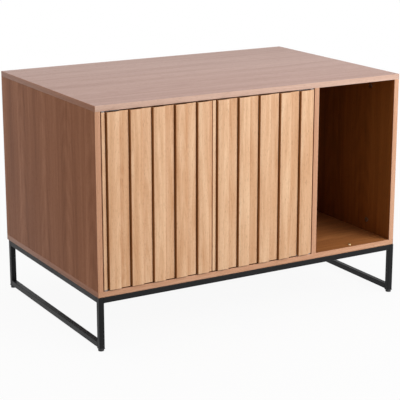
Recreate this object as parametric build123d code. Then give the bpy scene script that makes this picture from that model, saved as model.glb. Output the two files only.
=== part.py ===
from build123d import *

import os

# Cat litter box cabinet, in millimetres
# X runs along the width, the front faces -Y, and the origin lies on the floor under the middle.

# Case
case_width = 950.0
case_depth = 610.0
case_height = 500.0
board = 15.0
litter_width = 647.0
back_panel_thickness = 3.0
back_panel_inset = 10.0
back_groove_depth = 5.0
panel_fit = 0.2

# Cat doorway through the divider
doorway_width = 180.0
doorway_height = 230.0
doorway_sill = 50.0
doorway_corner = 25.0

# Flat sides of the small round pieces that repeat: few where the boards hide them, more where they show
hidden_sides = 8
shown_sides = 16
disc_sides = 24

# Cam locks, cam bolts and dowels at the board joints
cam_radius = 7.5
cam_distance = 34.0
cam_setback = 110.0
cam_cover = 2.5
cam_cross_length = 9.0
cam_cross_width = 1.6
cam_cross_depth = 1.5
bolt_bore_radius = 3.9
bolt_shank_radius = 2.5
bolt_head_radius = 3.4
bolt_head_length = 3.5
bolt_cover = 4.0
dowel_radius = 4.0
dowel_setback = 60.0
dowel_depth_in_side = 20.0
joint_fit = 0.05

# Doors, with slats on two levels
door_gap = 3.0
door_backing = 9.0
flat_slat_thickness = 6.0
raised_slat_thickness = 12.0
raised_slat_count = 5
raised_slat_width = 33.0
groove_width = 4.5
first_strip_width = 9.0
last_strip_width = 11.0
slat_chamfer = 0.8

# Pivot hinges, which lie in the gap above and below each door
hinge_inset = 4.5
leaf_length = 48.0
leaf_running_gap = 0.5
leaf_edge_margin = 0.3
pin_radius = 1.5
pin_fit = 0.05
pin_end_gap = 0.1

# Push latches
latch_inset = 32.0
latch_drop = 13.0
latch_body_width = 14.0
latch_body_below = 7.0
latch_body_length = 42.0
latch_flange_width = 34.0
latch_flange_length = 18.0
latch_flange_setback = 2.0
latch_flange_thickness = 2.0
plunger_radius = 3.5
plunger_fit = 0.08
plunger_length = 26.0
plunger_travel = 3.0
plunger_stop_gap = 1.0
spring_space = 8.0
magnet_radius = 5.0
magnet_length = 4.0
strike_radius = 8.0
strike_thickness = 1.5
strike_gap = 0.3

# Steel frame
tube = 15.0
tube_wall = 1.2
tube_corner = 1.5
leg_height = 137.0
frame_proud = 3.0
frame_back_inset = 10.0
tab_width = 24.0
tab_reach = 20.0
tab_thickness = 2.0
tab_hole_offset = 6.5

# Screws that hold the case on the frame, with weld nuts under the tabs
frame_screw_radius = 2.5
frame_screw_head_radius = 5.0
frame_screw_head_height = 2.8
frame_screw_head_chamfer = 1.0
frame_screw_clearance = 0.3
frame_screw_end = 2.0
nut_across_flats = 8.0
nut_height = 4.0

# End plugs and levelling feet
plug_flange_thickness = 2.0
plug_flange_margin = 0.3
plug_fit = 0.1
plug_depth = 22.0
plug_bore_margin = 2.0
foot_radius = 8.0
foot_height = 6.0
stem_radius = 3.0
stem_length = 20.0
stem_fit = 0.06

# Outer faces and clear spaces
relief = raised_slat_thickness - flat_slat_thickness
case_left = -case_width / 2
case_right = case_width / 2
case_front = (relief - case_depth) / 2
case_back = case_front + case_depth
tube_bottom = foot_height + plug_flange_thickness
case_bottom = tube_bottom + leg_height
case_top = case_bottom + case_height
floor_top = case_bottom + board
ceiling = case_top - board
litter_left = case_left + board
litter_right = litter_left + litter_width
open_left = litter_right + board
open_right = case_right - board
back_panel_back = case_back - back_panel_inset
back_panel_front = back_panel_back - back_panel_thickness
divider_back = back_panel_front - panel_fit

# Doors and hinges
door_width = (litter_width - 3 * door_gap) / 2
door_bottom = floor_top + door_gap
door_top = ceiling - door_gap
door_back = case_front + flat_slat_thickness + door_backing
door_edges = {
    "left": (litter_left + door_gap, litter_left + door_gap + door_width),
    "right": (litter_right - door_gap - door_width, litter_right - door_gap),
}
pin_x = {"left": door_edges["left"][0] + hinge_inset, "right": door_edges["right"][1] - hinge_inset}
latch_x = {"left": door_edges["left"][1] - latch_inset, "right": door_edges["right"][0] + latch_inset}
hinge_y = case_front + hinge_inset
leaf_thickness = (door_gap - leaf_running_gap) / 2
leaf_tongue = hinge_inset - leaf_edge_margin
leaf_near = flat_slat_thickness - hinge_inset
leaf_far = leaf_near + door_backing

# Latches, from the back of the door towards the back of the cabinet
strike_back = door_back + strike_thickness
magnet_front = strike_back + strike_gap
magnet_back = magnet_front + magnet_length
housing_front = magnet_back + plunger_travel + plunger_stop_gap
latch_z = ceiling - latch_drop

# Frame
frame_front = case_front - frame_proud
frame_back = case_back - frame_back_inset
leg_places = {
    "left_front": (case_left + tube / 2, frame_front + tube / 2),
    "left_back": (case_left + tube / 2, frame_back - tube / 2),
    "right_front": (case_right - tube / 2, frame_front + tube / 2),
    "right_back": (case_right - tube / 2, frame_back - tube / 2),
}
top_tube_z = case_bottom - tube / 2
bottom_tube_z = tube_bottom + tube / 2
tab_roots = {frame_front + tube: 1, frame_back - tube: -1}
frame_screw_places = [
    (x, root + inward * tab_hole_offset)
    for x in ((litter_left + litter_right) / 2, (open_left + open_right) / 2)
    for root, inward in tab_roots.items()
]

# Board joints: the low X of each upright and the side that its cams face
uprights = {
    "left_side_board": (case_left, 1),
    "divider_board": (litter_right, -1),
    "right_side_board": (open_right, -1),
}
upright_middles = [low + board / 2 for low, _ in uprights.values()]
cam_ys = (case_front + cam_setback, case_back - cam_setback)
dowel_ys = (case_front + dowel_setback, case_back - dowel_setback)
joint_faces = ((ceiling, 1), (floor_top, -1))
cam_depth = board - cam_cover
level_bore = board - bolt_cover
on_base = (Align.CENTER, Align.CENTER, Align.MIN)


def block(x, y, z):
    """Box between a low and a high value on each axis."""
    size = Box(x[1] - x[0], y[1] - y[0], z[1] - z[0])
    return Pos((x[0] + x[1]) / 2, (y[0] + y[1]) / 2, (z[0] + z[1]) / 2) * size


def rod(radius, start, direction, length):
    """Round rod or drill from a point along a direction."""
    return Plane(origin=start, z_dir=direction) * Cylinder(radius, length, align=on_base)


def flat_sided_rod(radius, start, direction, length, sides=hidden_sides):
    """Rod, disc or drill with flat sides, for the small pieces that repeat."""
    outline = RegularPolygon(radius, sides, major_radius=False)
    return Plane(origin=start, z_dir=direction) * extrude(outline, length)


def group(pieces):
    """Several separate solids in one node."""
    return Compound(children=list(pieces))


# Case boards


def back_groove_x():
    """X range of the back panel's groove, into both side boards."""
    return (litter_left - back_groove_depth, open_right + back_groove_depth)


def back_groove_y():
    """Y range of the back panel's groove."""
    return (back_panel_front - panel_fit, back_panel_back + panel_fit)


def level_board(low, face_z, into):
    """Top or bottom board, with the back panel's groove and the joint holes in its inner face."""
    solid = block((case_left, case_right), (case_front, case_back), (low, low + board))
    groove_end = face_z + into * back_groove_depth
    groove_z = (min(face_z, groove_end), max(face_z, groove_end))
    solid -= block(back_groove_x(), back_groove_y(), groove_z)
    for x in upright_middles:
        for y in cam_ys:
            solid -= flat_sided_rod(bolt_shank_radius + joint_fit, (x, y, face_z), (0, 0, into), level_bore)
        for y in dowel_ys:
            solid -= flat_sided_rod(dowel_radius + joint_fit, (x, y, face_z), (0, 0, into), level_bore)
    return solid


def top_board():
    """Top board over the full width of the case."""
    return level_board(ceiling, ceiling, 1)


def bottom_board():
    """Bottom board under the full width of the case, with the holes of the frame screws."""
    solid = level_board(case_bottom, floor_top, -1)
    for x, y in frame_screw_places:
        hole = frame_screw_radius + frame_screw_clearance
        solid -= flat_sided_rod(hole, (x, y, case_bottom), (0, 0, 1), board)
    return solid


def cam_plane(low, side, y, face_z, outward):
    """Plane on a cam's face: its Z runs into the board and its X towards the joint."""
    face_x = low + board if side > 0 else low
    origin = (face_x, y, face_z - outward * cam_distance)
    return Plane(origin=origin, x_dir=(0, 0, outward), z_dir=(-side, 0, 0))


def upright_board(name, back):
    """Upright between the top and bottom boards, with the bores of its cams, bolts and dowels."""
    low, side = uprights[name]
    middle = low + board / 2
    solid = block((low, low + board), (case_front, back), (floor_top, ceiling))
    for face_z, outward in joint_faces:
        inward = (0, 0, -outward)
        for y in cam_ys:
            bore = flat_sided_rod(cam_radius + joint_fit, (0, 0, 0), (0, 0, 1), cam_depth, shown_sides)
            solid -= cam_plane(low, side, y, face_z, outward) * bore
            solid -= flat_sided_rod(bolt_bore_radius, (middle, y, face_z), inward, cam_distance)
        for y in dowel_ys:
            depth = dowel_depth_in_side + joint_fit
            solid -= flat_sided_rod(dowel_radius + joint_fit, (middle, y, face_z), inward, depth)
    return solid


def side_board(name):
    """Outer side board with the back panel's groove in its inner face."""
    return upright_board(name, case_back) - block(back_groove_x(), back_groove_y(), (floor_top, ceiling))


def divider_board():
    """Divider with the arched doorway through which the cat reaches the litter box."""
    straight = doorway_height - doorway_width / 2
    opening = Pos(0, straight / 2) * Rectangle(doorway_width, straight)
    opening = fillet(opening.vertices().group_by(Axis.Y)[0], doorway_corner)
    opening += Pos(0, straight) * Circle(doorway_width / 2)
    middle_y = (case_front + divider_back) / 2
    sill = Plane(
        origin=(litter_right, middle_y, floor_top + doorway_sill), x_dir=(0, 1, 0), z_dir=(1, 0, 0)
    )
    return upright_board("divider_board", divider_back) - sill * extrude(opening, board)


def back_panel():
    """Thin back panel that stands in the grooves of the four outer boards."""
    reach = back_groove_depth - panel_fit
    x = (litter_left - reach, open_right + reach)
    z = (floor_top - reach, ceiling + reach)
    return block(x, (back_panel_front, back_panel_back), z)


# Joint fasteners of the case


def cam_lock():
    """Cam with its face at z = 0, its body towards +Z and its bolt channel towards +X."""
    body = flat_sided_rod(cam_radius, (0, 0, 0), (0, 0, 1), cam_depth - joint_fit, shown_sides)
    channel = (-bolt_bore_radius, bolt_bore_radius)
    along = (-bolt_head_length, 2 * cam_radius)
    body -= block(along, channel, (board / 2 + channel[0], board / 2 + channel[1]))
    cross = ((-cam_cross_length / 2, cam_cross_length / 2), (-cam_cross_width / 2, cam_cross_width / 2))
    body -= block(cross[0], cross[1], (0, cam_cross_depth))
    body -= block(cross[1], cross[0], (0, cam_cross_depth))
    return body


def cam_locks():
    """Every cam, four in each upright board."""
    cams = []
    for low, side in uprights.values():
        for face_z, outward in joint_faces:
            cams += [cam_plane(low, side, y, face_z, outward) * cam_lock() for y in cam_ys]
    return group(cams)


def cam_bolt():
    """Cam bolt with its threaded end below z = 0 and its head inside the cam."""
    end = joint_fit - level_bore
    shank = flat_sided_rod(bolt_shank_radius, (0, 0, end), (0, 0, 1), cam_distance - end)
    head_start = cam_distance - bolt_head_length / 2
    return shank + flat_sided_rod(bolt_head_radius, (0, 0, head_start), (0, 0, 1), bolt_head_length)


def dowel():
    """Dowel with its level-board end below z = 0."""
    end = joint_fit - level_bore
    return flat_sided_rod(dowel_radius, (0, 0, end), (0, 0, 1), dowel_depth_in_side - end)


def at_joints(piece, ys):
    """Copies of a piece at every joint face of every upright, pointing into the upright."""
    places = []
    for middle in upright_middles:
        for face_z, outward in joint_faces:
            places += [Plane(origin=(middle, y, face_z), x_dir=(1, 0, 0), z_dir=(0, 0, -outward)) for y in ys]
    return group([place * piece for place in places])


# Doors


def slat_layout():
    """X ranges of the raised and the flat slats, from the door's left edge."""
    first = first_strip_width + groove_width
    last = door_width - last_strip_width - raised_slat_width
    pitch = (last - first) / (raised_slat_count - 1)
    raised = []
    flat = [(0, first_strip_width)]
    for index in range(raised_slat_count):
        low = first + index * pitch
        step = low + raised_slat_width
        raised.append((low, step))
        flat.append((step, min(low + pitch - groove_width, door_width)))
    return raised, flat


def raised_slats(side):
    """The proud slats of one door, with their front edges eased."""
    left = door_edges[side][0]
    y = (case_front - relief, case_front + flat_slat_thickness)
    slats = []
    for low, high in slat_layout()[0]:
        slat = block((left + low, left + high), y, (door_bottom, door_top))
        front_edges = slat.faces().sort_by(Axis.Y)[0].edges().filter_by(Axis.Z)
        slats.append(chamfer(front_edges, slat_chamfer))
    return group(slats)


def flat_slats(side):
    """The slats and edge strips of one door that lie level with the case front."""
    left = door_edges[side][0]
    y = (case_front, case_front + flat_slat_thickness)
    z = (door_bottom, door_top)
    return group([block((left + low, left + high), y, z) for low, high in slat_layout()[1]])


def door_backing_panel(side):
    """Panel that carries the slats, the hinge leaves and the strike plate."""
    y = (case_front + flat_slat_thickness, door_back)
    return block(door_edges[side], y, (door_bottom, door_top))


# Hinges


def at_pin(piece, side, z, up):
    """Place a hinge piece, drawn about the pin for the left door, at a door's pin."""
    if not up:
        piece = mirror(piece, Plane.XY)
    if side == "right":
        piece = mirror(piece, Plane.YZ)
    return Pos(pin_x[side], hinge_y, z) * piece


def hinge_leaf():
    """Leaf with its back on z = 0: a tongue about the pin and a plate over the backing panel."""
    outline = Polyline(
        (-leaf_tongue / 2, leaf_tongue),
        (leaf_far - leaf_tongue, leaf_far),
        (leaf_length, leaf_far),
        (leaf_length, leaf_near),
        (2 * leaf_tongue + leaf_near, leaf_near),
        (leaf_tongue, -leaf_tongue),
        (-leaf_tongue / 2, -leaf_tongue),
        (-leaf_tongue, -leaf_tongue / 2),
        (-leaf_tongue, leaf_tongue / 2),
        close=True,
    )
    return extrude(make_face(outline), leaf_thickness)


def case_leaf():
    """Leaf on the case, with the pin that reaches to just short of the door's edge."""
    return hinge_leaf() + Cylinder(pin_radius, door_gap - pin_end_gap, align=on_base)


def door_leaf():
    """Leaf on the door, with the hole that turns on the pin."""
    return hinge_leaf() - Cylinder(pin_radius + pin_fit, leaf_thickness, align=on_base)


# Latches


def latch_housing(side):
    """Latch housing under the top board, with the plunger's blind bore."""
    x = latch_x[side]
    half = latch_body_width / 2
    half_flange = latch_flange_width / 2
    body_y = (housing_front, housing_front + latch_body_length)
    housing = block((x - half, x + half), body_y, (latch_z - latch_body_below, ceiling))
    flange_front = housing_front + latch_flange_setback
    flange_y = (flange_front, flange_front + latch_flange_length)
    flange_z = (ceiling - latch_flange_thickness, ceiling)
    housing += block((x - half_flange, x + half_flange), flange_y, flange_z)
    bore_length = plunger_length + plunger_travel + spring_space
    return housing - rod(plunger_radius + plunger_fit, (x, housing_front, latch_z), (0, 1, 0), bore_length)


def latch_plunger(side):
    """Plunger with its magnet tip in front of the housing."""
    start = (latch_x[side], magnet_front, latch_z)
    tip = flat_sided_rod(magnet_radius, start, (0, 1, 0), magnet_length, disc_sides)
    shaft_length = housing_front - magnet_back + plunger_length
    return tip + rod(plunger_radius, (latch_x[side], magnet_back, latch_z), (0, 1, 0), shaft_length)


def strike_plate(side):
    """Round steel plate on the back of a door, where the magnet holds it."""
    start = (latch_x[side], door_back, latch_z)
    return flat_sided_rod(strike_radius, start, (0, 1, 0), strike_thickness, disc_sides)


# Steel frame


def tube_between(start, direction, length):
    """Square tube with rounded outer corners, from the middle of its first end."""
    inner = tube - 2 * tube_wall
    section = RectangleRounded(tube, tube, tube_corner) - Rectangle(inner, inner)
    x_dir = (0, 0, 1) if direction[2] == 0 else (1, 0, 0)
    return Plane(origin=start, x_dir=x_dir, z_dir=direction) * extrude(section, length)


def leg(corner):
    """Upright tube from the end plug to the underside of the case."""
    return tube_between((*leg_places[corner], tube_bottom), (0, 0, 1), leg_height)


def side_tube(side, z):
    """Tube between the front and the back leg of one side."""
    x, front = leg_places[side + "_front"]
    back = leg_places[side + "_back"][1]
    return tube_between((x, front + tube / 2, z), (0, 1, 0), back - front - tube)


def rail(end):
    """Tube under the front or the back of the case, between two legs."""
    left, y = leg_places["left_" + end]
    right = leg_places["right_" + end][0]
    return tube_between((left + tube / 2, y, top_tube_z), (1, 0, 0), right - left - tube)


def frame_tabs():
    """Tabs welded to the rails under the bottom board, each with a screw hole."""
    tabs = []
    for x, y in frame_screw_places:
        root = min(tab_roots, key=lambda rail_face: abs(rail_face - y))
        tip = root + tab_roots[root] * tab_reach
        tab_y = (min(root, tip), max(root, tip))
        tab = block((x - tab_width / 2, x + tab_width / 2), tab_y, (case_bottom - tab_thickness, case_bottom))
        hole = frame_screw_radius + frame_screw_clearance
        tabs.append(tab - flat_sided_rod(hole, (x, y, case_bottom), (0, 0, -1), tab_thickness))
    return group(tabs)


def weld_nuts():
    """Hexagon nuts under the tabs."""
    low = case_bottom - tab_thickness - nut_height
    nut = extrude(RegularPolygon(nut_across_flats / 2, 6, major_radius=False), nut_height)
    nut -= flat_sided_rod(frame_screw_radius + joint_fit, (0, 0, 0), (0, 0, 1), nut_height)
    return group([Pos(x, y, low) * nut for x, y in frame_screw_places])


def frame_screws():
    """Screws whose heads show on the cabinet's floor."""
    shank_length = board + tab_thickness + nut_height + frame_screw_end
    head = flat_sided_rod(frame_screw_head_radius, (0, 0, 0), (0, 0, 1), frame_screw_head_height, shown_sides)
    head = chamfer(head.edges().group_by(Axis.Z)[-1], frame_screw_head_chamfer)
    screw = head + flat_sided_rod(frame_screw_radius, (0, 0, 0), (0, 0, -1), shank_length)
    return group([Pos(x, y, floor_top) * screw for x, y in frame_screw_places])


def end_plug(corner):
    """Plug in the foot of a leg, with a flange under the tube and a bore for the stem."""
    flange = tube + 2 * plug_flange_margin
    body = tube - 2 * tube_wall - 2 * plug_fit
    plug = Pos(0, 0, -plug_flange_thickness) * Box(flange, flange, plug_flange_thickness, align=on_base)
    plug += Box(body, body, plug_depth, align=on_base)
    bore = stem_length + plug_bore_margin
    plug -= Pos(0, 0, -plug_flange_thickness) * Cylinder(stem_radius + stem_fit, bore, align=on_base)
    return Pos(*leg_places[corner], tube_bottom) * plug


def levelling_foot(corner):
    """Round foot on a stem that runs in the end plug."""
    foot = flat_sided_rod(foot_radius, (0, 0, 0), (0, 0, 1), foot_height, disc_sides)
    foot += Pos(0, 0, foot_height) * Cylinder(stem_radius, stem_length, align=on_base)
    return Pos(*leg_places[corner], 0) * foot


# Whole cabinet

parts = {
    "top_board": top_board(),
    "bottom_board": bottom_board(),
    "left_side_board": side_board("left_side_board"),
    "right_side_board": side_board("right_side_board"),
    "divider_board": divider_board(),
    "back_panel": back_panel(),
    "cam_locks": cam_locks(),
    "cam_bolts": at_joints(cam_bolt(), cam_ys),
    "wood_dowels": at_joints(dowel(), dowel_ys),
    "front_rail": rail("front"),
    "back_rail": rail("back"),
    "frame_tabs": frame_tabs(),
    "weld_nuts": weld_nuts(),
    "frame_screws": frame_screws(),
}
for side in door_edges:
    parts[side + "_door_backing"] = door_backing_panel(side)
    parts[side + "_door_raised_slats"] = raised_slats(side)
    parts[side + "_door_flat_slats"] = flat_slats(side)
    parts[side + "_strike_plate"] = strike_plate(side)
    parts[side + "_latch_housing"] = latch_housing(side)
    parts[side + "_latch_plunger"] = latch_plunger(side)
    parts[side + "_top_tube"] = side_tube(side, top_tube_z)
    parts[side + "_bottom_tube"] = side_tube(side, bottom_tube_z)
    for level, case_face, door_face, case_leaf_up in (
        ("upper", ceiling, door_top, False),
        ("lower", floor_top, door_bottom, True),
    ):
        hinge = side + "_" + level + "_hinge_"
        parts[hinge + "case_leaf"] = at_pin(case_leaf(), side, case_face, case_leaf_up)
        parts[hinge + "door_leaf"] = at_pin(door_leaf(), side, door_face, not case_leaf_up)
for corner in leg_places:
    parts[corner + "_leg"] = leg(corner)
    parts[corner + "_end_plug"] = end_plug(corner)
    parts[corner + "_foot"] = levelling_foot(corner)

os.makedirs("parts", exist_ok=True)
for name, part in parts.items():
    export_step(part, "parts/" + name + ".step")
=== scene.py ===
"""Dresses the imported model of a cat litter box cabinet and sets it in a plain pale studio."""

import logging
import math
import random
from dataclasses import dataclass
from enum import Enum
from functools import cache
from typing import Iterable, Mapping, Sequence, Union

import bmesh
import bpy
from mathutils import Matrix, Vector


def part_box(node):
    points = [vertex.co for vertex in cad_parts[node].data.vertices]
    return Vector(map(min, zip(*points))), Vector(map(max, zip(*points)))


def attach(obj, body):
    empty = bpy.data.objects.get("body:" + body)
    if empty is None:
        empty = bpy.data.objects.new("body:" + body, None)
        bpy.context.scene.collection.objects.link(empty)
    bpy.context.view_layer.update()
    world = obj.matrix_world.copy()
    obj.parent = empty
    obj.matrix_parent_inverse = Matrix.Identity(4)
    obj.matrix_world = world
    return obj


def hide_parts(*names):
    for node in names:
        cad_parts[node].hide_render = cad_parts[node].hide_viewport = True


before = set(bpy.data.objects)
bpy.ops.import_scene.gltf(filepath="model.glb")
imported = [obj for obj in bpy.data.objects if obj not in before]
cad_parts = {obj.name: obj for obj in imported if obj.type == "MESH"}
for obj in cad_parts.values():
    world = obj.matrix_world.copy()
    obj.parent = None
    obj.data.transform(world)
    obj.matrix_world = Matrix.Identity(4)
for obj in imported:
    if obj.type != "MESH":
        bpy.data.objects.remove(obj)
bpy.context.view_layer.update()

log = logging.getLogger("cabinet")

Point = tuple[float, float, float]
Colour = tuple[float, float, float, float]
MM = 0.001
WHITE: Colour = (1.0, 1.0, 1.0, 1.0)


def seen(red: float, green: float, blue: float) -> Colour:
    """Turn a colour as the eye sees it into the linear colour of a shader.

    Args:
        red: Red from 0 to 255.
        green: Green from 0 to 255.
        blue: Blue from 0 to 255.

    Returns:
        The linear colour with full alpha.
    """
    linear = [
        value / 12.92 if value <= 0.04045 else ((value + 0.055) / 1.055) ** 2.4
        for value in (red / 255, green / 255, blue / 255)
    ]
    return (linear[0], linear[1], linear[2], 1.0)


def shade(colour: Colour, factor: float) -> Colour:
    """Scale a linear colour, darker below 1 and lighter above it."""
    return (colour[0] * factor, colour[1] * factor, colour[2] * factor, 1.0)


# Shader nodes


class Signal:
    """A value in a node tree, which adds a Math node for each sum that it takes part in."""

    def __init__(self, sheet: "NodeSheet", socket: bpy.types.NodeSocket) -> None:
        """Keep the sheet and the socket that the value comes out of."""
        self.sheet = sheet
        self.socket = socket

    def __add__(self, other: "Term") -> "Signal":
        """Add a value."""
        return self.sheet.math("ADD", self, other)

    def __radd__(self, other: "Term") -> "Signal":
        """Add this to a value."""
        return self.sheet.math("ADD", other, self)

    def __sub__(self, other: "Term") -> "Signal":
        """Take a value away."""
        return self.sheet.math("SUBTRACT", self, other)

    def __rsub__(self, other: "Term") -> "Signal":
        """Take this away from a value."""
        return self.sheet.math("SUBTRACT", other, self)

    def __mul__(self, other: "Term") -> "Signal":
        """Multiply by a value."""
        return self.sheet.math("MULTIPLY", self, other)

    def __rmul__(self, other: "Term") -> "Signal":
        """Multiply a value by this."""
        return self.sheet.math("MULTIPLY", other, self)

    def __truediv__(self, other: "Term") -> "Signal":
        """Divide by a value."""
        return self.sheet.math("DIVIDE", self, other)

    def __rtruediv__(self, other: "Term") -> "Signal":
        """Divide a value by this."""
        return self.sheet.math("DIVIDE", other, self)


Term = Union[Signal, float]
Setting = Union[str, Sequence[tuple[float, Colour]]]
Feed = Union[Signal, float, Colour, Point]


class NodeSheet:
    """Writes the nodes of one material or world."""

    def __init__(self, tree: bpy.types.NodeTree) -> None:
        """Start on an empty tree."""
        self.tree = tree
        self.tree.nodes.clear()

    def node(
        self,
        kind: str,
        settings: Mapping[str, Setting] | None = None,
        feeds: Mapping[Union[str, int], Feed] | None = None,
        outlet: Union[str, int] = 0,
    ) -> Signal:
        """Add a node, with its settings before its sockets.

        Args:
            kind: Blender's name for the type of node.
            settings: Attributes of the node. "stops" holds a colour ramp's places and colours.
            feeds: Values or links of the node's input sockets.
            outlet: Name or number of the output that is handed back.

        Returns:
            The chosen output.
        """
        node = self.tree.nodes.new(kind)
        for name, value in (settings or {}).items():
            if name == "stops":
                self._set_stops(node.color_ramp, value)
            else:
                setattr(node, name, value)
        for name, value in (feeds or {}).items():
            if isinstance(value, Signal):
                self.tree.links.new(value.socket, node.inputs[name])
            else:
                node.inputs[name].default_value = value
        return Signal(self, node.outputs[outlet]) if node.outputs else Signal(self, node.inputs[0])

    @staticmethod
    def _set_stops(ramp: bpy.types.ColorRamp, stops: Sequence[tuple[float, Colour]]) -> None:
        """Give a colour ramp its stops.

        Args:
            ramp: The ramp of a new node, which has two stops.
            stops: Place and colour of each stop, in order.
        """
        while len(ramp.elements) < len(stops):
            ramp.elements.new(1.0)
        for element, (place, colour) in zip(ramp.elements, stops):
            element.position = place
            element.color = colour

    def math(self, operation: str, *values: Term) -> Signal:
        """Add a Math node for an operation on values."""
        return self.node("ShaderNodeMath", {"operation": operation}, dict(enumerate(values)))

    def join(self, x: Term, y: Term, z: Term) -> Signal:
        """Make a vector of three values."""
        return self.node("ShaderNodeCombineXYZ", {}, {"X": x, "Y": y, "Z": z})

    def places(self) -> tuple[Signal, Signal, Signal]:
        """Give the three coordinates of the point that is shaded, in millimetres on its own piece."""
        spot = self.node("ShaderNodeTexCoord", outlet="Object")
        scaled = self.node("ShaderNodeVectorMath", {"operation": "SCALE"}, {0: spot, "Scale": 1000.0})
        outputs = self.node("ShaderNodeSeparateXYZ", {}, {0: scaled}).socket.node.outputs
        return (Signal(self, outputs[0]), Signal(self, outputs[1]), Signal(self, outputs[2]))

    def seed(self) -> Signal:
        """Read the number that sets each board's print apart."""
        return self.node("ShaderNodeAttribute", {"attribute_name": "board_seed"}, outlet="Fac")

    def noise(self, x: Term, y: Term, z: Term, detail: float = 2.0, rough: float = 0.5) -> Signal:
        """Add cloudy noise with cells about one unit wide.

        Args:
            x: First coordinate.
            y: Second coordinate.
            z: Third coordinate.
            detail: Number of finer layers.
            rough: Strength of the finer layers.

        Returns:
            A value that mostly runs from 0.25 to 0.75.
        """
        feeds = {"Vector": self.join(x, y, z), "Scale": 1.0, "Detail": detail, "Roughness": rough}
        return self.node("ShaderNodeTexNoise", {}, feeds)

    def cells(self, x: Term, y: Term, z: Term, outlet: str = "Distance") -> Signal:
        """Add Voronoi cells about one unit wide and hand back one of their outputs."""
        return self.node("ShaderNodeTexVoronoi", {}, {"Vector": self.join(x, y, z), "Scale": 1.0}, outlet)

    def step(self, value: Signal, low: float, high: float) -> Signal:
        """Rise smoothly from 0 at the low value to 1 at the high one."""
        feeds = {"Value": value, "From Min": low, "From Max": high}
        return self.node("ShaderNodeMapRange", {"interpolation_type": "SMOOTHSTEP"}, feeds)

    def ramp(self, value: Signal, stops: Sequence[tuple[float, Colour]]) -> Signal:
        """Turn a value into a colour by a row of stops."""
        return self.node("ShaderNodeValToRGB", {"stops": stops}, {"Fac": value})

    def mix(self, factor: Term, first: Feed, second: Feed) -> Signal:
        """Blend two colours, with the factor as the share of the second."""
        return self.node("ShaderNodeMix", {"data_type": "RGBA"}, {0: factor, 6: first, 7: second}, outlet=2)

    def bump(self, height: Signal, depth_mm: float) -> Signal:
        """Turn a height from 0 to 1 into a bumped normal, a full step being so many millimetres deep."""
        return self.node("ShaderNodeBump", {}, {"Height": height, "Distance": depth_mm * MM}, "Normal")

    def surface(self, **feeds: Feed) -> None:
        """End the tree in one Principled shader.

        Args:
            **feeds: Its sockets, with underscores for the spaces in their names.
        """
        named = {name.replace("_", " "): value for name, value in feeds.items()}
        shader = self.node("ShaderNodeBsdfPrincipled", {}, named)
        self.node("ShaderNodeOutputMaterial", {}, {"Surface": shader})


# Finishes


class Slot(Enum):
    """Material slots of the record."""

    CASE_PRINT = "case_print"
    BACK_PRINT = "back_print"
    DOOR_BOARD = "door_board"
    SLAT_PRINT = "slat_print"
    BEECH = "beech"
    BLACK_STEEL = "black_steel"
    HINGE_STEEL = "hinge_steel"
    ZINC = "zinc"
    YELLOW_ZINC = "yellow_zinc"
    BLACK_PLASTIC = "black_plastic"


class Grain(Enum):
    """Way that a print's grain runs."""

    WIDTH = 0
    DEPTH = 1
    HEIGHT = 2


@dataclass(frozen=True)
class Finish:
    """What a surface is made of.

    Attributes:
        name: Name of the material.
        slot: Record slot that the finish belongs to. Not used.
    """

    name: str
    slot: Slot

    def write(self, sheet: NodeSheet) -> None:
        """Write the finish's nodes, which each kind of finish does in its own way."""
        raise NotImplementedError


@cache
def material_of(finish: Finish) -> bpy.types.Material:
    """Make a finish's material once.

    Args:
        finish: The finish.

    Returns:
        Its material.
    """
    material = bpy.data.materials.new(finish.name)
    material.use_nodes = True
    finish.write(NodeSheet(material.node_tree))
    return material


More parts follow.
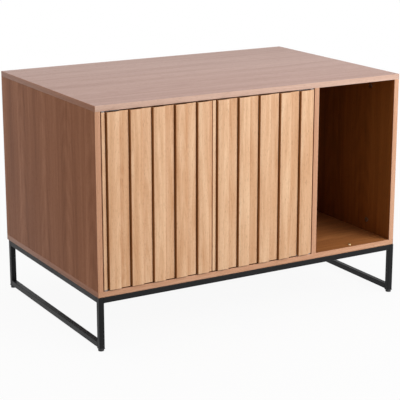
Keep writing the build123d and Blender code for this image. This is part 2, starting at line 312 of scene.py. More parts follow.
@dataclass(frozen=True)
class WoodPrint(Finish):
    """Wood grain printed on a smooth board.

    Attributes:
        grain: Way that the grain runs.
        dark: Colour of the dark grain lines.
        body: Main colour.
        pale: Colour of the pale streaks.
        pore: Colour of the pores.
        leaf: Width of one leaf of veneer, in millimetres, with one arched figure each.
        column: Width of the broad pale and dark columns, in millimetres.
        reach: Length over which a column's tone changes, in millimetres.
        streak: Width of the streaks, in millimetres.
        line: Width of the fine lines, in millimetres.
        column_depth: Strength of the columns.
        streak_depth: Strength of the streaks.
        line_depth: Strength of the fine lines.
        arch: Strength of the arched figure.
        knots: Strength of the small knots.
        curl: Strength of the ripple across the grain.
        vary: How far one board's tone lies from the next one's.
        roughness: Mean roughness of the coat.
        gloss: Specular level of the coat.
        relief: Depth of the embossed pores, in millimetres.
    """

    grain: Grain
    dark: Colour
    body: Colour
    pale: Colour
    pore: Colour
    leaf: float = 150.0
    column: float = 46.0
    reach: float = 1100.0
    streak: float = 11.0
    line: float = 2.6
    column_depth: float = 0.7
    streak_depth: float = 0.5
    line_depth: float = 0.45
    arch: float = 0.1
    knots: float = 0.0
    curl: float = 0.0
    vary: float = 0.0
    roughness: float = 0.42
    gloss: float = 0.25
    relief: float = 0.05

    def _runs(self, sheet: NodeSheet) -> tuple[Signal, Signal]:
        """Give the places across and along the grain, moved apart for each board.

        Args:
            sheet: The material's nodes.

        Returns:
            The place across the grain and the place along it, in millimetres.
        """
        places = list(sheet.places())
        along = places.pop(self.grain.value)
        seed = sheet.seed()
        return places[0] + places[1] + seed * 731.0, along + seed * 1873.0

    def write(self, sheet: NodeSheet) -> None:
        """Write the grain, from broad columns down to pores."""
        across, along = self._runs(sheet)
        drift = sheet.noise(across / 70.0, along / 420.0, 1.7, 1.0) - 0.5
        flow = across + drift * 26.0
        knot_reach = sheet.cells(flow / 36.0, along / 240.0, 0.3) if self.knots else None
        column = sheet.noise(flow / self.column, along / self.reach, 4.1, 1.0)
        streak = sheet.noise(flow / self.streak, along / 420.0, 8.3, 2.0)
        line = sheet.noise(flow / self.line, along / 150.0, 2.9, 2.0, 0.6)
        tone = (column - 0.5) * self.column_depth + (streak - 0.5) * self.streak_depth
        tone = tone + (line - 0.5) * self.line_depth + (sheet.seed() - 0.5) * self.vary + 0.5
        leaf = sheet.math("PINGPONG", flow / self.leaf, 0.5) * 2.0
        phase = leaf * leaf * 5.0 + along / 95.0 + drift * 3.0
        if knot_reach is not None:
            phase = phase + (1.0 - sheet.step(knot_reach, 0.0, 0.35)) * 1.6
        rings = sheet.math("SINE", phase * (2 * math.pi)) * 0.5
        middle = 1.0 - sheet.step(leaf, 0.25, 0.95)
        tone = tone + rings * middle * self.arch
        if self.curl:
            ripple = sheet.noise(flow / 22.0, along / 5.0, 6.2, 1.0) - 0.5
            reach = sheet.step(sheet.noise(flow / 30.0, along / 120.0, 9.4, 0.0), 0.5, 0.7)
            tone = tone + ripple * reach * self.curl
        colour = sheet.ramp(tone, ((0.08, self.dark), (0.5, self.body), (0.92, self.pale)))
        pore = sheet.step(sheet.noise(flow / 0.9, along / 11.0, 5.5, 1.0), 0.6, 0.72)
        colour = sheet.mix(pore * 0.4, colour, self.pore)
        if knot_reach is not None:
            knot_colour = sheet.cells(flow / 36.0, along / 240.0, 0.3, "Color")
            chosen = sheet.node("ShaderNodeSeparateColor", {}, {0: knot_colour})
            heart = (1.0 - sheet.step(knot_reach, 0.015, 0.06)) * sheet.step(chosen, 0.62, 0.66)
            colour = sheet.mix(heart * self.knots, colour, self.pore)
        sheet.surface(
            Base_Color=colour,
            Roughness=self.roughness + (line - 0.5) * 0.12 + pore * 0.1,
            Normal=sheet.bump(line * 0.35 - pore, self.relief),
            Specular_IOR_Level=self.gloss,
        )


@dataclass(frozen=True)
class ChippedEdge(Finish):
    """Bare edge of particle board, with its chips."""

    pale: Colour = seen(196, 164, 122)
    dark: Colour = seen(132, 98, 66)

    def write(self, sheet: NodeSheet) -> None:
        """Write flat chips of many tones."""
        x, y, z = sheet.places()
        chip_colour = sheet.cells(x / 2.6, y / 2.6, z / 1.1, "Color")
        chips = sheet.node("ShaderNodeSeparateColor", {}, {0: chip_colour})
        fines = sheet.noise(x / 0.7, y / 0.7, z / 0.7, 2.0)
        colour = sheet.ramp(chips * 0.7 + fines * 0.3, ((0.1, self.dark), (0.75, self.pale)))
        sheet.surface(Base_Color=colour, Roughness=0.85, Normal=sheet.bump(chips + fines, 0.15))


@dataclass(frozen=True)
class Hardboard(Finish):
    """Unprinted back of thin fibre board."""

    tone: Colour = seen(158, 122, 88)

    def write(self, sheet: NodeSheet) -> None:
        """Write the felted fibres and the cloudy tone of the sheet."""
        x, y, z = sheet.places()
        cloud = sheet.noise(x / 60.0, y / 60.0, z / 60.0, 3.0)
        fibre = sheet.noise(x / 1.6, y / 1.6, z / 1.6, 3.0, 0.7)
        tone = (cloud - 0.5) * 0.5 + (fibre - 0.5) * 0.9 + 0.5
        colour = sheet.ramp(tone, ((0.15, shade(self.tone, 0.66)), (0.85, shade(self.tone, 1.22))))
        sheet.surface(Base_Color=colour, Roughness=0.72, Normal=sheet.bump(fibre, 0.12))


@dataclass(frozen=True)
class PowderCoat(Finish):
    """Satin powder coat on steel, with its fine orange peel."""

    tone: Colour = seen(20, 20, 21)

    def write(self, sheet: NodeSheet) -> None:
        """Write the peel, a slight change of tone and duller patches where hands rub."""
        x, y, z = sheet.places()
        peel = sheet.noise(x / 1.3, y / 1.3, z / 1.3, 1.0)
        patch = sheet.noise(x / 85.0, y / 85.0, z / 85.0, 3.0)
        colour = sheet.ramp(patch, ((0.3, shade(self.tone, 0.8)), (0.7, shade(self.tone, 1.2))))
        sheet.surface(
            Base_Color=colour,
            Roughness=0.46 + (patch - 0.5) * 0.2 + (peel - 0.5) * 0.1,
            Normal=sheet.bump(peel, 0.08),
            Specular_IOR_Level=0.18,
        )


@dataclass(frozen=True)
class MouldedPlastic(Finish):
    """Moulded plastic with a fine spark-eroded grain."""

    tone: Colour = seen(30, 30, 31)

    def write(self, sheet: NodeSheet) -> None:
        """Write the mould's grain and faint flow marks."""
        x, y, z = sheet.places()
        grain = sheet.noise(x / 0.35, y / 0.35, z / 0.35, 1.0)
        flow = sheet.noise(x / 14.0, y / 14.0, z / 40.0, 2.0)
        colour = sheet.ramp(flow, ((0.3, shade(self.tone, 0.82)), (0.7, shade(self.tone, 1.25))))
        sheet.surface(
            Base_Color=colour, Roughness=0.52 + (flow - 0.5) * 0.2, Normal=sheet.bump(grain, 0.04)
        )


@dataclass(frozen=True)
class Metal(Finish):
    """Plated or cast metal.

    Attributes:
        tone: Main colour.
        tint: Second colour of the plating, in soft patches.
        roughness: Mean roughness.
        cast: Depth of the casting's grain, in millimetres.
    """

    tone: Colour
    tint: Colour
    roughness: float = 0.34
    cast: float = 0.02

    def write(self, sheet: NodeSheet) -> None:
        """Write the plating's patches, its fine scratches and the casting's grain."""
        x, y, z = sheet.places()
        patch = sheet.noise(x / 4.0, y / 4.0, z / 4.0, 2.0)
        scratch = sheet.noise(x / 0.25, y / 3.0, z / 0.6, 2.0, 0.6)
        grain = sheet.noise(x / 0.5, y / 0.5, z / 0.5, 2.0)
        sheet.surface(
            Base_Color=sheet.mix(sheet.step(patch, 0.4, 0.62), self.tone, self.tint),
            Metallic=1.0,
            Roughness=self.roughness + (scratch - 0.5) * 0.22,
            Normal=sheet.bump(grain, self.cast),
        )


def palette(dark: Point, body: Point, pale: Point, pore: Point) -> dict[str, Colour]:
    """Name the four colours of a print.

    Args:
        dark: Colour of the dark grain lines, as the eye sees it.
        body: Main colour.
        pale: Colour of the pale streaks.
        pore: Colour of the pores.

    Returns:
        The linear colours under the names that WoodPrint gives them.
    """
    return {"dark": seen(*dark), "body": seen(*body), "pale": seen(*pale), "pore": seen(*pore)}


WALNUT = palette((122, 76, 52), (156, 104, 76), (184, 130, 100), (92, 54, 36))
# Darker, warmer copy of the walnut print for the inner uprights: painted shade inside the case.
SHADED_WALNUT = palette((96, 50, 16), (134, 76, 30), (160, 98, 46), (64, 30, 8))
# Darker, warmer copy of the walnut print for the case's inner level faces and the door backing: painted
# shade inside the case and down the grooves.
FLOOR_WALNUT_PAINTED_SHADE = palette((118, 70, 34), (164, 104, 58), (192, 130, 78), (80, 44, 18))
# Lighter, warmer copy of the walnut print for the inside of the back panel: painted light in the deep
# compartment.
BACK_WALNUT_PAINTED_LIGHT = palette((176, 112, 60), (218, 150, 92), (236, 176, 116), (96, 54, 24))
# Paler, pinker copy of the walnut print for the level boards' outer faces: painted sheen of soft light on
# the top.
WALNUT_WITH_PAINTED_SHEEN = palette((148, 113, 100), (178, 146, 135), (198, 166, 155), (120, 86, 70))
OAK = palette((198, 144, 100), (221, 176, 137), (238, 201, 163), (140, 90, 52))
TAPE = palette((176, 124, 92), (202, 151, 118), (220, 172, 141), (138, 92, 66))
# Paler copy of TAPE for the top board's front tape: painted sheen.
TAPE_WITH_PAINTED_SHEEN = palette((184, 146, 126), (208, 172, 153), (222, 188, 170), (140, 104, 86))
OUTER_UPRIGHT = WoodPrint(
    "walnut_print_upright", Slot.CASE_PRINT, Grain.HEIGHT, gloss=0.05, roughness=0.5, **WALNUT
)
OUTER_LEVEL = WoodPrint(
    "walnut_print_level_painted_sheen", Slot.CASE_PRINT, Grain.WIDTH, column_depth=0.45, streak_depth=0.4,
    line_depth=0.35, arch=0.06, roughness=0.55, gloss=0.3, **WALNUT_WITH_PAINTED_SHEEN,
)
INNER_UPRIGHT = WoodPrint("inner_print_upright_painted_shade", Slot.CASE_PRINT, Grain.HEIGHT, **SHADED_WALNUT)
INNER_LEVEL = WoodPrint("inner_print_level_painted_shade", Slot.CASE_PRINT, Grain.WIDTH, **FLOOR_WALNUT_PAINTED_SHADE)
BACK_INNER = WoodPrint("back_panel_print_painted_light", Slot.BACK_PRINT, Grain.HEIGHT, **BACK_WALNUT_PAINTED_LIGHT)
TAPE_TOP = WoodPrint("edge_tape_top_painted_sheen", Slot.CASE_PRINT, Grain.WIDTH, leaf=60.0, column=18.0, **TAPE_WITH_PAINTED_SHEEN)
TAPE_BOTTOM = WoodPrint("edge_tape_bottom", Slot.CASE_PRINT, Grain.WIDTH, leaf=60.0, column=18.0, **TAPE)
TAPE_UPRIGHT = WoodPrint(
    "edge_tape_upright", Slot.CASE_PRINT, Grain.HEIGHT, leaf=60.0, column=18.0, vary=0.45, **TAPE
)
TAPE_ENDS = WoodPrint("edge_tape_ends", Slot.CASE_PRINT, Grain.DEPTH, leaf=60.0, column=18.0, **WALNUT)
SLAT = WoodPrint(
    "oak_slat_print", Slot.SLAT_PRINT, Grain.HEIGHT, leaf=44.0, column=15.0, reach=210.0, streak=5.5,
    line=1.8, column_depth=0.85, streak_depth=0.24, line_depth=0.24, arch=0.12, knots=0.7, curl=0.14,
    vary=0.3, roughness=0.46, **OAK,
)
# Darker print on the slats' sides: painted shade in the grooves between the slats.
GROOVE_PAINTED_SHADE = WoodPrint(
    "groove_painted_shade", Slot.SLAT_PRINT, Grain.HEIGHT, leaf=44.0, column=9.0, gloss=0.1, roughness=0.6,
    **palette((134, 84, 42), (166, 110, 62), (190, 134, 84), (104, 60, 28)),
)
# Very dark print on the slats' top and bottom ends: painted shade in the gaps above and below the doors.
SLAT_END_PAINTED_SHADE = WoodPrint(
    "slat_end_painted_shade", Slot.SLAT_PRINT, Grain.DEPTH, leaf=12.0, column=5.0, gloss=0.05, roughness=0.7,
    **palette((70, 38, 16), (92, 52, 24), (112, 66, 32), (50, 26, 10)),
)
# The backing seen down the grooves between the slats carries painted shade.
DOOR_BACKING = WoodPrint("door_backing_print_painted_shade", Slot.DOOR_BOARD, Grain.HEIGHT, **FLOOR_WALNUT_PAINTED_SHADE)
RAW_BEECH = WoodPrint(
    "raw_beech", Slot.BEECH, Grain.HEIGHT, leaf=9.0, column=6.0, streak=2.0, line=0.7, roughness=0.7,
    **palette((196, 160, 118), (216, 184, 144), (230, 204, 168), (170, 126, 86)),
)
CHIPS = ChippedEdge("particle_board_edge", Slot.CASE_PRINT)
RAW_BACK = Hardboard("raw_hardboard", Slot.BACK_PRINT)
STEEL_COAT = PowderCoat("black_powder_coat", Slot.BLACK_STEEL)
PLASTIC = MouldedPlastic("black_moulded_plastic", Slot.BLACK_PLASTIC)
# Grey of plated steel, darkened below its own tone: painted shade of the hinges and fittings in the door
# gaps.
PLATED_WITH_PAINTED_SHADE = Metal("plated_hinge_steel_painted_shade", Slot.HINGE_STEEL, seen(150, 150, 153), seen(126, 126, 129))
# Grey of cast zinc, darkened below its own tone: painted shade of the cams inside the case.
CAST_ZINC_WITH_PAINTED_SHADE = Metal("cast_zinc_painted_shade", Slot.ZINC, seen(140, 139, 138), seen(112, 110, 108), 0.48, 0.06)
YELLOW_ZINC = Metal("yellow_zinc", Slot.YELLOW_ZINC, seen(224, 200, 138), seen(206, 178, 150), 0.3)


# Mesh work


class Side(Enum):
    """Outward direction of a board's face."""

    LEFT = (-1, 0, 0)
    RIGHT = (1, 0, 0)
    BACK = (0, 1, 0)
    DOWN = (0, 0, -1)
    UP = (0, 0, 1)


class Workpiece:
    """A mesh in the making, in metres in the shared frame."""

    def __init__(self) -> None:
        """Start empty."""
        self.mesh = bmesh.new()
        self.seed_layer = self.mesh.faces.layers.float.new("board_seed")

    def absorb(self, part: bmesh.types.BMesh, seed: float = 0.0) -> None:
        """Take in a finished part and mark its faces with its seed.

        Args:
            part: The part, which is freed.
            seed: Number that sets its print apart.
        """
        start = len(self.mesh.faces)
        store = bpy.data.meshes.new("store")
        part.to_mesh(store)
        part.free()
        self.mesh.from_mesh(store)
        bpy.data.meshes.remove(store)
        self.mesh.faces.ensure_lookup_table()
        for index in range(start, len(self.mesh.faces)):
            self.mesh.faces[index][self.seed_layer] = seed

    def board(
        self,
        low: Point,
        high: Point,
        ease: float,
        seed: float = 0.0,
        skins: Mapping[Side, int] | None = None,
    ) -> None:
        """Add a board with eased edges.

        Args:
            low: Lowest corner.
            high: Highest corner.
            ease: Radius of the edges.
            seed: Number that sets its print apart.
            skins: Number of the finish of each face that isn't the first.
        """
        part = bmesh.new()
        ends = (low, high)
        corners = [part.verts.new((ends[i & 1][0], ends[i >> 1 & 1][1], ends[i >> 2][2])) for i in range(8)]
        for ring in ((0, 2, 3, 1), (4, 5, 7, 6), (0, 1, 5, 4), (2, 6, 7, 3), (0, 4, 6, 2), (1, 3, 7, 5)):
            face = part.faces.new([corners[i] for i in ring])
            face.normal_update()
            for side, skin in (skins or {}).items():
                if face.normal.dot(Vector(side.value)) > 0.9:
                    face.material_index = skin
        eased = bmesh.ops.bevel(
            part, geom=part.edges[:], offset=ease, segments=3, profile=0.5, affect="EDGES",
            clamp_overlap=True,
        )
        for face in eased["faces"]:
            face.smooth = True
        self.absorb(part, seed)

    def turned(self, profile: Sequence[tuple[float, float]], place: Matrix, steps: int = 36) -> None:
        """Add a piece turned about its own Z.

        Args:
            profile: Radius and height of each point, from bottom to top. It closes on itself
                where both its ends stand off the axis.
            place: Where the piece goes.
            steps: Number of facets round it.
        """
        part = bmesh.new()
        rings = [self._ring(part, radius, height, steps) for radius, height in profile]
        hollow = rings[:1] if profile[0][0] and profile[-1][0] else []
        for lower, upper in zip(rings, rings[1:] + hollow):
            for index in range(steps):
                following = (index + 1) % steps
                corners = [lower[index], lower[following], upper[following], upper[index]]
                face = part.faces.new(list(dict.fromkeys(corners)))
                face.smooth = True
        part.transform(place)
        bmesh.ops.recalc_face_normals(part, faces=part.faces[:])
        self.absorb(part)

    @staticmethod
    def _ring(
        part: bmesh.types.BMesh, radius: float, height: float, steps: int
    ) -> list[bmesh.types.BMVert]:
        """Add a ring of points, or one point many times over where the radius is nothing."""
        if radius == 0:
            return [part.verts.new((0, 0, height))] * steps
        ring = []
        for index in range(steps):
            turn = 2 * math.pi * index / steps
            ring.append(part.verts.new((radius * math.cos(turn), radius * math.sin(turn), height)))
        return ring

    def crossed_head(
        self,
        profile: Sequence[tuple[float, float]],
        cross: tuple[float, float, float],
        places: Iterable[Matrix],
        steps: int = 36,
    ) -> None:
        """Add screw or cam heads: a turned side and a flat top with a cross-shaped recess.

        Args:
            profile: Radius and height from the bottom up to the flat top.
            cross: Length, width and depth of the recess.
            places: Where the heads go.
            steps: Number of facets round a head.
        """
        length, width, depth = cross[0] / 2, cross[1] / 2, cross[2]
        top = profile[-1][1]
        arms = [(length, width), (width, width), (width, length)]
        arms += [(-x, y) for x, y in reversed(arms)]
        outline = arms + [(-x, -y) for x, y in arms]
        for place in places:
            part = bmesh.new()
            rings = [self._ring(part, radius, height, steps) for radius, height in profile]
            for lower, upper in zip(rings, rings[1:]):
                for index in range(steps):
                    following = (index + 1) % steps
                    face = part.faces.new((lower[index], lower[following], upper[following], upper[index]))
                    face.smooth = True
            brim = [part.verts.new((x, y, top)) for x, y in outline]
            foot = [part.verts.new((x * 0.8, y * 0.8, top - depth)) for x, y in outline]
            rim_edges = [part.edges.get((rings[-1][i], rings[-1][(i + 1) % steps])) for i in range(steps)]
            brim_edges = [part.edges.new((brim[i], brim[(i + 1) % len(brim)])) for i in range(len(brim))]
            bmesh.ops.triangle_fill(part, edges=rim_edges + brim_edges, use_beauty=True)
            for index in range(len(brim)):
                following = (index + 1) % len(brim)
                part.faces.new((brim[index], brim[following], foot[following], foot[index]))
            part.faces.new(foot)
            part.faces.new(rings[0])
            bmesh.ops.recalc_face_normals(part, faces=part.faces[:])
            part.transform(place)
            self.absorb(part)

    def sheet_with_hole(
        self,
        outer: Sequence[tuple[float, float]],
        hole: Sequence[tuple[float, float]],
        wall: Sequence[tuple[float, float]],
        faces_x: tuple[float, float],
        ease: float,
        skins: tuple[int, int],
        seed: float,
    ) -> None:
        """Add an upright board with a hole right through it in X.

        Args:
            outer: Outline of the board, as places in Y and Z.
            hole: Outline of the hole in the board's faces.
            wall: Outline of the hole inside the board, point for point.
            faces_x: X of the two faces.
            ease: How deep the hole's edge is eased.
            skins: Numbers of the finish of the faces and of the hole's wall.
            seed: Number that sets the print apart.
        """
        part = bmesh.new()
        wall_loops = []
        outer_loops = []
        for x, inward in ((faces_x[0], 1), (faces_x[1], -1)):
            rim = [part.verts.new((x, y, z)) for y, z in outer]
            lip = [part.verts.new((x, y, z)) for y, z in hole]
            edges = []
            for loop in (rim, lip):
                edges += [part.edges.new((loop[i], loop[(i + 1) % len(loop)])) for i in range(len(loop))]
            bmesh.ops.triangle_fill(part, edges=edges, use_beauty=True)
            inner = [part.verts.new((x + inward * ease, y, z)) for y, z in wall]
            wall_loops += [lip, inner] if inward > 0 else [inner, lip]
            outer_loops.append(rim)
        plain = list(part.faces)
        for face in plain:
            face.material_index = skins[0]
        for first, second in zip(wall_loops, wall_loops[1:]):
            for index in range(len(first)):
                following = (index + 1) % len(first)
                corners = (first[index], first[following], second[following], second[index])
                face = part.faces.new(corners)
                face.smooth = True
                face.material_index = skins[1]
        for index in range(len(outer)):
            following = (index + 1) % len(outer)
            first, second = outer_loops
            part.faces.new((first[index], first[following], second[following], second[index]))
        bmesh.ops.recalc_face_normals(part, faces=part.faces[:])
        self.absorb(part, seed)

    def place(
        self, name: str, body: str, finishes: Sequence[Finish], stands_for: Sequence[str] = ()
    ) -> None:
        """Make the object, dress it and let it ride on its body.

        Args:
            name: Name of the piece.
            body: CAD body that carries it.
            finishes: Finishes by number.
            stands_for: CAD nodes that it replaces.
        """
        mesh = bpy.data.meshes.new(name)
        self.mesh.to_mesh(mesh)
        self.mesh.free()
        mesh.set_sharp_from_angle(angle=math.radians(38))
        for finish in finishes:
            mesh.materials.append(material_of(finish))
        piece = bpy.data.objects.new(name, mesh)
        bpy.context.scene.collection.objects.link(piece)
        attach(piece, body)
        if stands_for:
            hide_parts(*stands_for)
        log.info("%s rides on %s", name, body)


def dress_node(node: str, finish: Finish) -> None:
    """Give a CAD node that keeps its own shape its finish."""
    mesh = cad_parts[node].data
    mesh.materials.clear()
    mesh.materials.append(material_of(finish))
    log.info("%s keeps its CAD shape in %s", node, finish.name)


def facing(place: Point, direction: Point) -> Matrix:
    """Turn a piece's own Z to a direction and move it to a place.

    Args:
        place: Where the piece's origin goes.
        direction: Where its Z goes.

    Returns:
        The matrix.
    """
    turn = Vector((0, 0, 1)).rotation_difference(Vector(direction)).to_matrix().to_4x4()
    return Matrix.Translation(place) @ turn


# Sub-assemblies

BOARD_SEEDS = {
    "top_board": 0.137,
    "bottom_board": 0.447,
    "left_side_board": 0.21,
    "right_side_board": 0.83,
    "divider_board": 0.49,
    "back_panel": 0.9,
}


@dataclass
class Case:
    """Boards of the case, with their edge tape and back panel.

    Attributes:
        ease: Radius of the boards' edges.
        tape: Thickness of the edge tape.
        tape_ease: Radius of the tape's edges.
        doorway_width: Width of the cat doorway.
        doorway_height: Height of the cat doorway.
        doorway_sill: Height of its sill over the floor of the case.
        doorway_corner: Radius of its lower corners.
        arch_steps: Number of points round the doorway's arch.
    """

    ease: float = 0.5 * MM
    tape: float = 1.0 * MM
    tape_ease: float = 0.35 * MM
    doorway_width: float = 180 * MM
    doorway_height: float = 230 * MM
    doorway_sill: float = 50 * MM
    doorway_corner: float = 25 * MM
    arch_steps: int = 40

    def build(self) -> None:
        """Build every board."""
        self._level_board("top_board")
        self._level_board("bottom_board")
        self._side_board("left_side_board", Side.RIGHT)
        self._side_board("right_side_board", Side.LEFT)
        self._divider()
        self._back_panel()

    def _level_board(self, node: str) -> None:
        """Build the top or the bottom board, with tape on its front and both ends."""
        low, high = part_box(node)
        seed = BOARD_SEEDS[node]
        inner = Side.DOWN if node == "top_board" else Side.UP
        panel = Workpiece()
        panel.board(
            (low[0] + self.tape, low[1] + self.tape, low[2]), (high[0] - self.tape, high[1], high[2]),
            self.ease, seed, {inner: 1, Side.BACK: 2},
        )
        # Outer faces get the print with painted sheen, the inner face the darker print with painted shade.
        panel.place(node + "_panel", "cabinet", (OUTER_LEVEL, INNER_LEVEL, CHIPS), (node,))
        front = Workpiece()
        front.board(
            (low[0] + self.tape, low[1], low[2]), (high[0] - self.tape, low[1] + self.tape, high[2]),
            self.tape_ease, seed,
        )
        # The top board's front tape is the paler copy with painted sheen.
        front.place(node + "_front_tape", "cabinet", (TAPE_TOP if inner is Side.DOWN else TAPE_BOTTOM,))
        ends = Workpiece()
        for x in (low[0], high[0] - self.tape):
            ends.board((x, low[1], low[2]), (x + self.tape, high[1], high[2]), self.tape_ease, seed + x)
        ends.place(node + "_end_tapes", "cabinet", (TAPE_ENDS,))

    def _side_board(self, node: str, inner: Side) -> None:
        """Build an outer side board, with tape on its front edge.

        Args:
            node: CAD node of the board.
            inner: Direction of its inner face.
        """
        low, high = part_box(node)
        panel = Workpiece()
        panel.board(
            (low[0], low[1] + self.tape, low[2]), high, self.ease, BOARD_SEEDS[node],
            {inner: 1, Side.BACK: 2},
        )
        # The inner face gets the darker print with painted shade.
        panel.place(node + "_panel", "cabinet", (OUTER_UPRIGHT, INNER_UPRIGHT, CHIPS), (node,))
        self._front_tape(node, low, high)

    def _front_tape(self, node: str, low: Point, high: Point) -> None:
        """Build the tape on the front edge of an upright."""
        front = Workpiece()
        front.board(low, (high[0], low[1] + self.tape, high[2]), self.tape_ease, BOARD_SEEDS[node])
        front.place(node + "_front_tape", "cabinet", (TAPE_UPRIGHT,))

    def _arch(self, middle_y: float, sill_z: float, grow: float) -> list[tuple[float, float]]:
        """Draw the doorway's outline.

        Args:
            middle_y: Y of its middle.
            sill_z: Height of its sill.
            grow: How far the outline lies outside the true doorway.

        Returns:
            Its points in Y and Z, in order.
        """
        half = self.doorway_width / 2
        spring_z = sill_z + self.doorway_height - half
        arcs = [(0.0, half, (middle_y, spring_z), self.arch_steps, math.pi)]
        corner = self.doorway_corner
        lower_z = sill_z + corner
        quarter = self.arch_steps // 4
        arcs.append((math.pi, corner, (middle_y - half + corner, lower_z), quarter, math.pi / 2))
        arcs.append((1.5 * math.pi, corner, (middle_y + half - corner, lower_z), quarter, math.pi / 2))
        points = []
        for start, radius, centre, steps, sweep in arcs:
            for index in range(steps + 1):
                turn = start + sweep * index / steps
                reach = radius + grow
                points.append((centre[0] + reach * math.cos(turn), centre[1] + reach * math.sin(turn)))
        return points

    def _divider(self) -> None:
        """Build the divider with the arched cat doorway and its eased edge."""
        low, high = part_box("divider_board")
        middle_y = (low[1] + high[1]) / 2
        sill_z = low[2] + self.doorway_sill
        front = low[1] + self.tape
        outer = [(front, low[2]), (high[1], low[2]), (high[1], high[2]), (front, high[2])]
        panel = Workpiece()
        panel.sheet_with_hole(
            outer, self._arch(middle_y, sill_z, self.ease * 2), self._arch(middle_y, sill_z, 0.0),
            (low[0], high[0]), self.ease * 2, (0, 1), BOARD_SEEDS["divider_board"],
        )
        # Both faces get the darker print with painted shade.
        panel.place("divider_board_panel", "cabinet", (INNER_UPRIGHT, TAPE_UPRIGHT), ("divider_board",))
        self._front_tape("divider_board", low, high)

    def _back_panel(self) -> None:
        """Build the back panel, printed inside and bare behind."""
        low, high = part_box("back_panel")
        panel = Workpiece()
        panel.board(low, high, 0.3 * MM, BOARD_SEEDS["back_panel"], {Side.BACK: 1})
        # The inside face gets the lighter print with painted light.
        panel.place("back_panel_sheet", "cabinet", (BACK_INNER, RAW_BACK), ("back_panel",))


@dataclass
class JointHardware:
    """Cam locks, cam bolts and dowels at the board joints.

    Attributes:
        setback: Distance of the cams from the front and back edges.
        distance: Distance of the cams from the joint.
        radius: Radius of a cam.
        root: How deep the turned cam face starts in the board.
        cross: Length, width and depth of a cam's recess.
    """

    setback: float = 110 * MM
    distance: float = 34 * MM
    radius: float = 7.5 * MM
    root: float = 1.2 * MM
    cross: tuple[float, float, float] = (9 * MM, 1.8 * MM, 1.4 * MM)

    def build(self) -> None:
        """Build the cams and dress the hidden bolts and dowels."""
        low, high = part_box("left_side_board")
        heights = (high[2] - self.distance, low[2] + self.distance)
        depths = (low[1] + self.setback, high[1] - self.setback)
        faces = (
            (high[0], 1),
            (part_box("divider_board")[0][0], -1),
            (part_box("right_side_board")[0][0], -1),
        )
        places = [
            facing((x - way * self.root, y, z), (way, 0, 0)) @ Matrix.Rotation(math.radians(45), 4, "Z")
            for x, way in faces
            for y in depths
            for z in heights
        ]
        profile = ((self.radius, 0.0), (self.radius, 1.15 * MM), (self.radius - 0.25 * MM, 1.4 * MM),
                   (self.radius - 1.2 * MM, 1.4 * MM), (self.radius - 1.4 * MM, 1.25 * MM))
        cams = Workpiece()
        cams.crossed_head(profile, self.cross, places)
        # The cam faces carry the zinc tone darkened as painted shade.
        cams.place("cam_lock_faces", "cabinet", (CAST_ZINC_WITH_PAINTED_SHADE,), ("cam_locks",))
        dress_node("cam_bolts", CAST_ZINC_WITH_PAINTED_SHADE)
        dress_node("wood_dowels", RAW_BEECH)


@dataclass
class SlattedDoor:
    """One door with its slats and strike plate.

    Attributes:
        side: "left" or "right".
        raised_count: Number of raised slats.
        raised_width: Width of a raised slat.
        groove: Width of the groove before each raised slat.
        first_strip: Width of the strip at the door's left edge.
        last_strip: Width of the strip at the door's right edge.
        ease: Radius of the slats' edges.
        seed: Start of the numbers that set the slats' prints apart.
    """

    side: str
    raised_count: int = 5
    raised_width: float = 33 * MM
    groove: float = 4.5 * MM
    first_strip: float = 9 * MM
    last_strip: float = 11 * MM
    ease: float = 0.8 * MM
    seed: int = 7

    def build(self) -> None:
        """Build the door's boards and its strike plate."""
        chance = random.Random(self.seed)
        raised_low, raised_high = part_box(self.side + "_door_raised_slats")
        flat_low, flat_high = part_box(self.side + "_door_flat_slats")
        left = flat_low[0]
        width = flat_high[0] - left
        first = self.first_strip + self.groove
        pitch = (width - self.last_strip - self.raised_width - first) / (self.raised_count - 1)
        raised = Workpiece()
        flat = Workpiece()
        spans = [(0.0, self.first_strip)]
        for index in range(self.raised_count):
            start = left + first + index * pitch
            stop = start + self.raised_width
            seed = chance.random()
            raised.board(
                (start, raised_low[1], raised_low[2]), (stop, raised_high[1], raised_high[2]), self.ease,
                seed, {Side.LEFT: 1, Side.RIGHT: 1, Side.UP: 2, Side.DOWN: 2},
            )
            spans.append((stop - left, min(stop - left + pitch - self.raised_width - self.groove, width)))
        for start, stop in spans:
            flat.board(
                (left + start, flat_low[1], flat_low[2]), (left + stop, flat_high[1], flat_high[2]),
                0.4 * MM, chance.random(), {Side.UP: 1, Side.DOWN: 1},
            )
        body = self.side + "_door"
        # The slats' sides carry painted shade of the grooves, their ends painted shade of the door gaps.
        skins = (SLAT, GROOVE_PAINTED_SHADE, SLAT_END_PAINTED_SHADE)
        raised.place(body + "_proud_slats", body, skins, (body + "_raised_slats",))
        flat.place(body + "_level_slats", body, (SLAT, SLAT_END_PAINTED_SHADE), (body + "_flat_slats",))
        self._backing(body, chance.random())
        self._strike(body)

    def _backing(self, body: str, seed: float) -> None:
        """Build the panel behind the slats.

        Args:
            body: Body of the door.
            seed: Number that sets its print apart.
        """
        low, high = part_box(self.side + "_door_backing")
        panel = Workpiece()
        panel.board(low, high, 0.4 * MM, seed)
        panel.place(body + "_panel", body, (DOOR_BACKING,), (body + "_backing",))

    def _strike(self, body: str) -> None:
        """Build the strike plate with its sunk screw."""
        low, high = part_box(self.side + "_strike_plate")
        middle = ((low[0] + high[0]) / 2, low[1], (low[2] + high[2]) / 2)
        thick = high[1] - low[1]
        radius = 8 * MM
        plate = Workpiece()
        profile = ((radius, 0.0), (radius, thick - 0.3 * MM), (radius - 0.3 * MM, thick), (3.2 * MM, thick))
        plate.crossed_head(profile, (3.4 * MM, 0.9 * MM, 0.9 * MM), [facing(middle, (0, 1, 0))], 48)
        plate.place(self.side + "_strike_disc", body, (PLATED_WITH_PAINTED_SHADE,), (self.side + "_strike_plate",))


